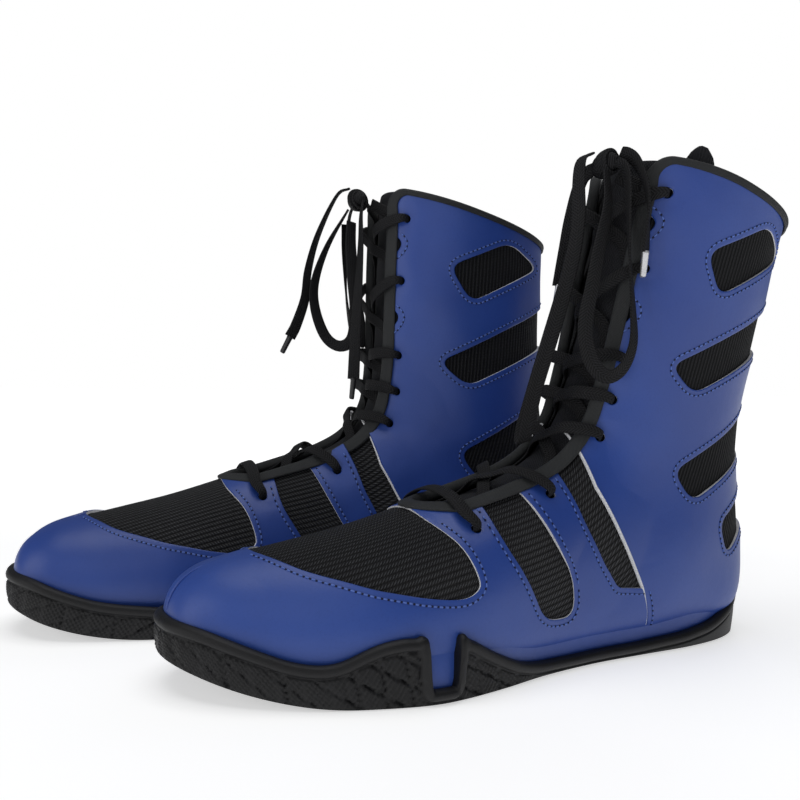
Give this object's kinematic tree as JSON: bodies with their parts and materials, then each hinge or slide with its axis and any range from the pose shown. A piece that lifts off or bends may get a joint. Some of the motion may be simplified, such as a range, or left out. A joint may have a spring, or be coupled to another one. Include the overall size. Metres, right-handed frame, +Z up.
{
  "type": "boxing boots",
  "caption": "Pair of high lace-up boxing boots: black mesh shaft and vamp, blue leather overlays with windows, thin rubber cup sole with raised side flares.",
  "frame": {"origin": "centre of the base of the pair, on the floor, measured without the free laces", "axes": "+Z up, toes toward -Y, left boot on the +X side, right boot on the -X side"},
  "size_m": [0.2227, 0.361, 0.2339],
  "materials": {
    "sole_rubber": "matt black moulded rubber",
    "shaft_mesh": "black ribbed knit mesh",
    "vamp_mesh": "black coarse woven mesh",
    "blue_leather": "smooth blue synthetic leather with fine grain",
    "lining": "black brushed lining",
    "binding_tape": "dark grey smooth tape",
    "tongue_fabric": "black padded fabric",
    "lace": "black flat braid",
    "lace_tip": "clear plastic tips",
    "footbed_foam": "dark grey foam with a fabric top",
    "stiffener": "plain fibre sheet"
  },
  "bodies": {
    "left_boot": {"left_outsole": "sole_rubber", "left_mesh_quarter_lateral": "shaft_mesh", "left_mesh_quarter_medial": "shaft_mesh", "left_quarter_lining_lateral": "lining", "left_quarter_lining_medial": "lining", "left_front_overlay_lateral": "blue_leather", "left_front_overlay_medial": "blue_leather", "left_rear_overlay_lateral": "blue_leather", "left_rear_overlay_medial": "blue_leather", "left_mesh_vamp": "vamp_mesh", "left_vamp_lining": "lining", "left_toe_puff": "stiffener", "left_heel_counter": "stiffener", "left_insole_board": "stiffener", "left_footbed": "footbed_foam", "left_lacing_edge_binding": "binding_tape", "left_collar_binding": "binding_tape", "left_laced_lace": "lace", "left_bow_knot": "lace", "left_bow_loop_outer": "lace", "left_bow_loop_inner": "lace", "left_bow_end_outer": "lace", "left_bow_end_inner": "lace", "left_lace_tip_outer": "lace_tip", "left_lace_tip_inner": "lace_tip"},
    "left_tongue": {"left_tongue": "tongue_fabric"},
    "right_boot": {"right_outsole": "sole_rubber", "right_mesh_quarter_lateral": "shaft_mesh", "right_mesh_quarter_medial": "shaft_mesh", "right_quarter_lining_lateral": "lining", "right_quarter_lining_medial": "lining", "right_front_overlay_lateral": "blue_leather", "right_front_overlay_medial": "blue_leather", "right_rear_overlay_lateral": "blue_leather", "right_rear_overlay_medial": "blue_leather", "right_mesh_vamp": "vamp_mesh", "right_vamp_lining": "lining", "right_toe_puff": "stiffener", "right_heel_counter": "stiffener", "right_insole_board": "stiffener", "right_footbed": "footbed_foam", "right_lacing_edge_binding": "binding_tape", "right_collar_binding": "binding_tape", "right_laced_lace": "lace", "right_bow_knot": "lace", "right_bow_loop_outer": "lace", "right_bow_loop_inner": "lace", "right_bow_end_outer": "lace", "right_bow_end_inner": "lace", "right_lace_tip_outer": "lace_tip", "right_lace_tip_inner": "lace_tip"},
    "right_tongue": {"right_tongue": "tongue_fabric"}
  },
  "joints": [
    {"name": "left_tongue_tilt", "type": "hinge", "parent": "left_boot", "child": "left_tongue", "pos_m": [0.05989, -0.00711, 0.064], "axis": [-0.9966, -0.0819, 0], "range_deg": [0, 12]},
    {"name": "right_boot_lift", "type": "slide", "parent": "left_boot", "child": "right_boot", "axis": [0, 0, 1], "range_m": [0, 0.3]},
    {"name": "right_tongue_tilt", "type": "hinge", "parent": "right_boot", "child": "right_tongue", "pos_m": [-0.05964, -0.06429, 0.064], "axis": [-0.9966, 0.0819, 0], "range_deg": [0, 12]}
  ]
}
